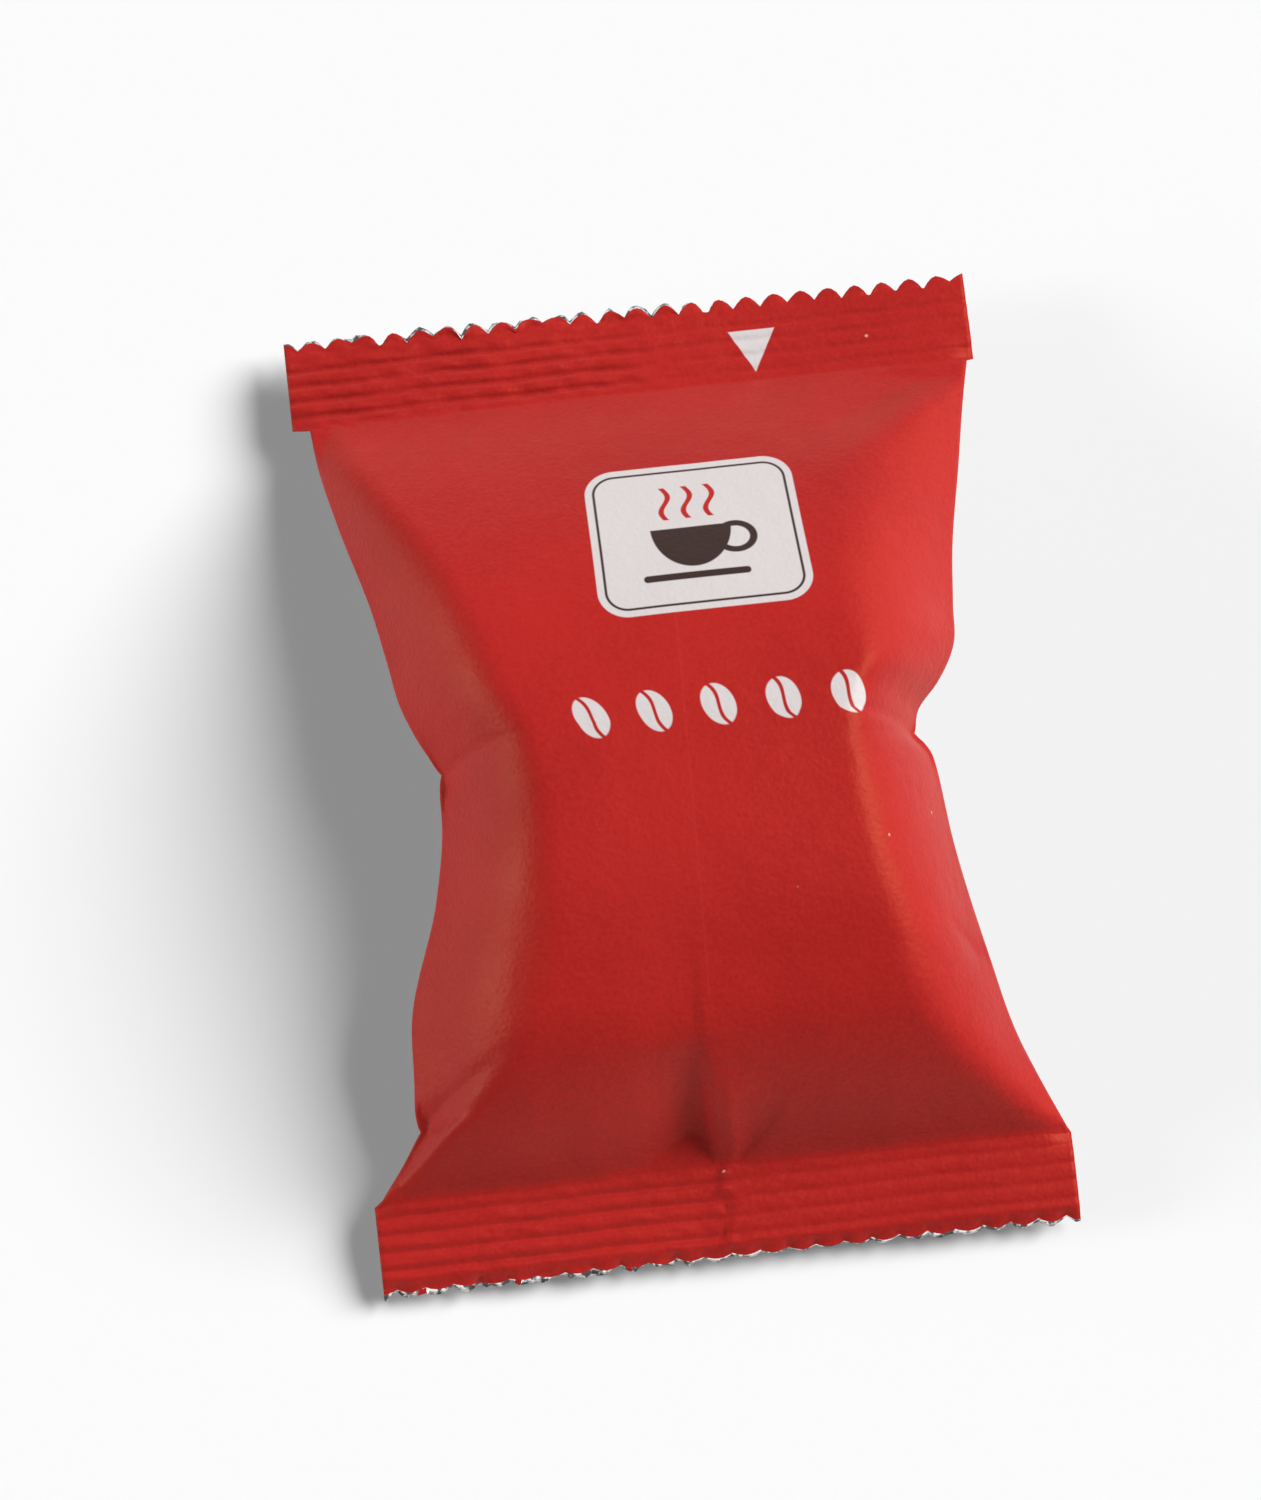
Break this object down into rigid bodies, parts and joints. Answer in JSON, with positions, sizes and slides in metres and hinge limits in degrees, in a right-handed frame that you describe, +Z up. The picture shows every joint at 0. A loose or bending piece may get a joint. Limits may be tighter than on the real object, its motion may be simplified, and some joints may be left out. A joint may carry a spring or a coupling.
{
  "type": "wrapped coffee pod",
  "caption": "Single-serve coffee pod sealed in a flow-wrapped film sachet, drawn in at the waist, with crimped end seals and zigzag cut edges, lying on its back.",
  "frame": {"origin": "centre of the sachet's footprint, on the plane that its back rests on", "axes": "+X across the sachet, +Y along it to the top seal, +Z up out of the printed front"},
  "size_m": [0.075, 0.106, 0.03],
  "materials": {
    "film": "satin red laminate film"
  },
  "bodies": {
    "root": {"sealed_pod_sachet": "film"}
  },
  "joints": []
}
